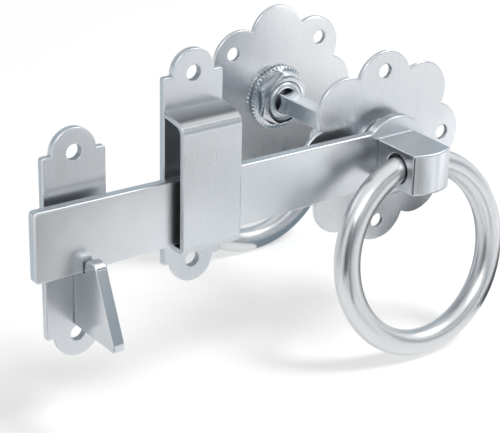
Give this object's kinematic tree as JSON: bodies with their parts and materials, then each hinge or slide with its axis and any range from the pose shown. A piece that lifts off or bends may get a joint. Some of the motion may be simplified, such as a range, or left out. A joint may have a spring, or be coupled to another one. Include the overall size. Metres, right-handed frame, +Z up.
{
  "type": "ring gate latch",
  "caption": "Ring gate latch: ring handles on a square spindle lift a flat bar, kept by a folded strap, out of a hooked catch, with scalloped roses.",
  "frame": {"origin": "on the spindle's axis, at the gate's front face, which is the back of the front rose", "axes": "+Y through the gate from front to back, +Z up, the latch bar points along -X to its catch"},
  "size_m": [0.2015, 0.1346, 0.1344],
  "materials": {
    "rose_sheet": "bright zinc-plated sheet, faintly brushed, satin",
    "plate_steel": "bright zinc-plated plate, brushed along its length, satin",
    "strap_sheet": "bright zinc-plated strip, brushed along the strip, satin",
    "hook_steel": "bright zinc-plated plate, satin",
    "bar_steel": "bright zinc-plated bar, brushed along its length, satin",
    "hub_steel": "bright zinc-plated block with polished edges",
    "turned_steel": "bright zinc-plated, turned",
    "spindle_steel": "bright drawn square bar, satin",
    "ring_steel": "bright zinc-plated round wire, polished to a soft gloss"
  },
  "bodies": {
    "gate_plates": {"front_rose": "rose_sheet", "back_rose": "rose_sheet", "guide_plate": "plate_steel", "guide_strap": "strap_sheet", "catch_plate": "plate_steel", "catch_hook": "hook_steel"},
    "latch": {"latch_bar": "bar_steel", "bar_spacer": "turned_steel", "front_hub": "hub_steel", "front_nut": "turned_steel", "spindle": "spindle_steel", "back_hub": "hub_steel", "back_nut": "turned_steel"},
    "front_handle": {"front_ring": "ring_steel"},
    "back_handle": {"back_ring": "ring_steel"}
  },
  "joints": [
    {"name": "latch_turn", "type": "hinge", "parent": "gate_plates", "child": "latch", "pos_m": [0, 0, 0], "axis": [0, 1, 0], "range_deg": [0, 11]},
    {"name": "front_ring_swing", "type": "hinge", "parent": "latch", "child": "front_handle", "pos_m": [0, -0.02239, 0], "axis": [-1, 0, 0], "range_deg": [-22, 170]},
    {"name": "back_ring_swing", "type": "hinge", "parent": "latch", "child": "back_handle", "pos_m": [0, 0.08259, 0], "axis": [1, 0, 0], "range_deg": [-7, 180]}
  ]
}
